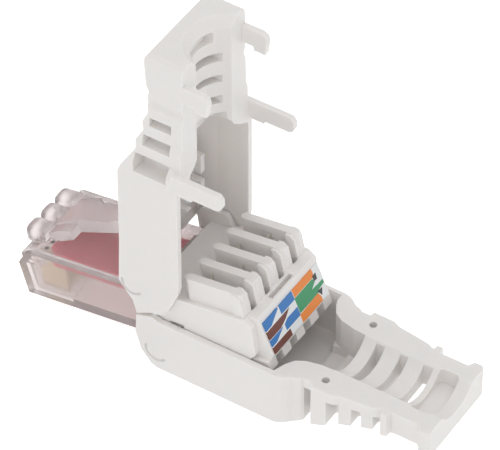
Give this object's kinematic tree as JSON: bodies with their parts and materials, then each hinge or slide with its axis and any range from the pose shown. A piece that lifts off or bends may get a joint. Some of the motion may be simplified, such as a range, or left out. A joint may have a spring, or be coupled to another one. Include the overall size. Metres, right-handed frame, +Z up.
{
  "type": "field termination ethernet plug",
  "caption": "Toolless network plug with a clear nose and latch, a hinged lid and lower shell around a towered contact block with forked wire contacts.",
  "frame": {"origin": "on the ground, under the middle of the open plug's bounding box", "axes": "+X toward the cable end along the level lower shell, -X toward the nose, +Y across the plug, +Z up; the lid stands upright at rest"},
  "size_m": [0.0524, 0.0148, 0.044],
  "materials": {
    "white_housing": "satin moulded white plastic",
    "clear_nose": "clear moulded plastic with a faint warm tint",
    "red_board": "red solder mask",
    "gold_contact": "gold plated",
    "fork_metal": "tin plated",
    "printed_label": "printed film in colour fields"
  },
  "bodies": {
    "plug": {"nose": "clear_nose", "circuit_board": "red_board", "contact_block": "white_housing", "wiring_label": "printed_label", "plug_contact_1": "gold_contact", "plug_contact_2": "gold_contact", "plug_contact_3": "gold_contact", "plug_contact_4": "gold_contact", "plug_contact_5": "gold_contact", "plug_contact_6": "gold_contact", "plug_contact_7": "gold_contact", "plug_contact_8": "gold_contact", "wire_fork_1": "fork_metal", "wire_fork_2": "fork_metal", "wire_fork_3": "fork_metal", "wire_fork_4": "fork_metal", "wire_fork_5": "fork_metal", "wire_fork_6": "fork_metal", "wire_fork_7": "fork_metal", "wire_fork_8": "fork_metal"},
    "lid": {"lid": "white_housing"},
    "lower_shell": {"lower_shell": "white_housing"}
  },
  "joints": [
    {"name": "lid_hinge", "type": "hinge", "parent": "plug", "child": "lid", "pos_m": [-0.00789, 0, 0.01094], "axis": [0, 1, 0], "range_deg": [0, 81.45]},
    {"name": "shell_hinge", "type": "hinge", "parent": "plug", "child": "lower_shell", "pos_m": [-0.00627, 0, 0.0039], "axis": [0, 1, 0], "range_deg": [-8.55, 0]}
  ]
}
